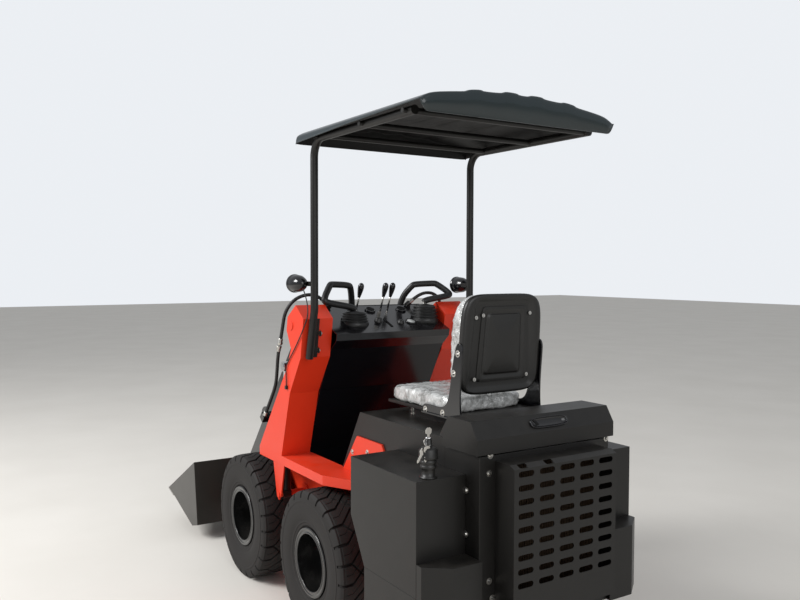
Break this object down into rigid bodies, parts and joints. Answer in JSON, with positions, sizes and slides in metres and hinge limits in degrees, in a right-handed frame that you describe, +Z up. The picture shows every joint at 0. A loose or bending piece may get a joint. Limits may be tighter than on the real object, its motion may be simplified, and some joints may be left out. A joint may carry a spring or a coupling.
{
  "type": "skid steer loader",
  "caption": "Compact wheeled loader with a front bucket on lift arms, a driver seat over a rear engine, side tanks and a canopy on posts.",
  "frame": {"origin": "on the ground under the middle of the whole machine", "axes": "+X forward to the bucket, +Y to the left, +Z up"},
  "size_m": [2.85, 1.04, 2.1299],
  "materials": {
    "red": "gloss orange-red paint",
    "black_paint": "satin black powder coat",
    "rim_black": "gloss black paint",
    "tyre": "matte moulded rubber",
    "bare_steel": "ground steel",
    "chrome_rod": "polished",
    "cast": null,
    "rubber": "ribbed rubber",
    "film": "black seat cloth under wrinkled clear film",
    "black_plastic": "moulded plastic"
  },
  "bodies": {
    "machine": {"axle_housings": "black_paint", "back_cushion": "film", "back_shell": "black_plastic", "bumper_left": "black_paint", "bumper_right": "black_paint", "canopy_posts": "black_paint", "canopy_roof": "black_paint", "chassis_frame": "red", "console_panel_lower": "black_paint", "console_panel_upper": "black_paint", "console_top": "black_paint", "engine_block": "cast", "engine_box": "black_paint", "foot_floor": "black_paint", "foot_panel": "black_paint", "front_cowl": "black_paint", "fuel_filler": "black_plastic", "grille": "black_paint", "hose_collars": "black_plastic", "hose_left": "rubber", "hose_right": "rubber", "instruments": "black_plastic", "knob_levers": "black_plastic", "lamp_cable": "rubber", "lever_bellows": "rubber", "lift_brackets": "red", "radiator": "cast", "rear_cabinet": "black_paint", "seat_base": "black_paint", "seat_brackets": "black_paint", "seat_cushion": "film", "side_tank_left": "black_paint", "side_tank_right": "black_paint", "step_left": "red", "step_right": "red", "tower_left": "red", "tower_right": "red", "travel_levers": "black_plastic", "work_lamps": "black_plastic"},
    "lift_arm": {"lift_arms": "black_paint", "hose_arm_left": "rubber", "hose_arm_right": "rubber"},
    "bucket": {"bucket": "black_paint", "cutting_edge": "bare_steel", "quick_attach": "black_paint"},
    "lift_barrel_left": {"lift_barrel_left": "black_paint"},
    "lift_barrel_right": {"lift_barrel_right": "black_paint"},
    "lift_rod_left": {"lift_rod_left": "chrome_rod"},
    "lift_rod_right": {"lift_rod_right": "chrome_rod"},
    "tilt_barrel": {"tilt_barrel": "black_paint"},
    "tilt_rod": {"tilt_rod": "chrome_rod"},
    "hood_lid": {"hood_lid": "black_paint"},
    "wheel_front_left": {"rim_front_left": "rim_black", "tyre_front_left": "tyre"},
    "wheel_front_right": {"rim_front_right": "rim_black", "tyre_front_right": "tyre"},
    "wheel_rear_left": {"rim_rear_left": "rim_black", "tyre_rear_left": "tyre"},
    "wheel_rear_right": {"rim_rear_right": "rim_black", "tyre_rear_right": "tyre"}
  },
  "joints": [
    {"name": "wheel_front_left_turn", "type": "hinge", "parent": "machine", "child": "wheel_front_left", "pos_m": [0.3035, 0.41, 0.295], "axis": [0, 1, 0], "continuous": true},
    {"name": "wheel_front_right_turn", "type": "hinge", "parent": "machine", "child": "wheel_front_right", "pos_m": [0.3035, -0.41, 0.295], "axis": [0, 1, 0], "continuous": true},
    {"name": "wheel_rear_left_turn", "type": "hinge", "parent": "machine", "child": "wheel_rear_left", "pos_m": [-0.4435, 0.41, 0.295], "axis": [0, 1, 0], "continuous": true},
    {"name": "wheel_rear_right_turn", "type": "hinge", "parent": "machine", "child": "wheel_rear_right", "pos_m": [-0.4435, -0.41, 0.295], "axis": [0, 1, 0], "continuous": true},
    {"name": "lift_arm_raise", "type": "hinge", "parent": "machine", "child": "lift_arm", "pos_m": [-0.17, 0, 1.255], "axis": [0, -1, 0], "range_deg": [-3, 75]},
    {"name": "bucket_tilt", "type": "hinge", "parent": "lift_arm", "child": "bucket", "pos_m": [0.8, 0, 0.205], "axis": [0, 1, 0], "range_deg": [-12, 110]},
    {"name": "hood_lid_open", "type": "hinge", "parent": "machine", "child": "hood_lid", "pos_m": [-1.122, 0, 0.926], "axis": [0, 1, 0], "range_deg": [0, 42]},
    {"name": "lift_barrel_left_swing", "type": "hinge", "parent": "machine", "child": "lift_barrel_left", "pos_m": [-0.02, 0.402, 0.47], "axis": [0, 1, 0], "range_deg": [-1, 7]},
    {"name": "lift_rod_left_slide", "type": "slide", "parent": "lift_barrel_left", "child": "lift_rod_left", "axis": [-0.0188, 0, 0.9998], "range_m": [-0.012, 0.285]},
    {"name": "lift_barrel_right_swing", "type": "hinge", "parent": "machine", "child": "lift_barrel_right", "pos_m": [-0.02, -0.402, 0.47], "axis": [0, 1, 0], "range_deg": [-1, 7]},
    {"name": "lift_rod_right_slide", "type": "slide", "parent": "lift_barrel_right", "child": "lift_rod_right", "axis": [-0.0188, 0, 0.9998], "range_m": [-0.012, 0.285]},
    {"name": "tilt_barrel_swing", "type": "hinge", "parent": "lift_arm", "child": "tilt_barrel", "pos_m": [0.385, 0, 0.665], "axis": [0, 1, 0], "range_deg": [-5, 1]},
    {"name": "tilt_rod_slide", "type": "slide", "parent": "tilt_barrel", "child": "tilt_rod", "axis": [0.73, 0, -0.6834], "range_m": [-0.026, 0.227]}
  ],
  "couplings": [
    {"joint": "lift_barrel_left_swing", "follows": "lift_arm_raise", "ratio": 0.081016},
    {"joint": "lift_rod_left_slide", "follows": "lift_arm_raise", "m_per_rad": 0.21637},
    {"joint": "lift_barrel_right_swing", "follows": "lift_arm_raise", "ratio": 0.081016},
    {"joint": "lift_rod_right_slide", "follows": "lift_arm_raise", "m_per_rad": 0.21637},
    {"joint": "tilt_barrel_swing", "follows": "bucket_tilt", "ratio": -0.038059},
    {"joint": "tilt_rod_slide", "follows": "bucket_tilt", "m_per_rad": 0.11734}
  ]
}
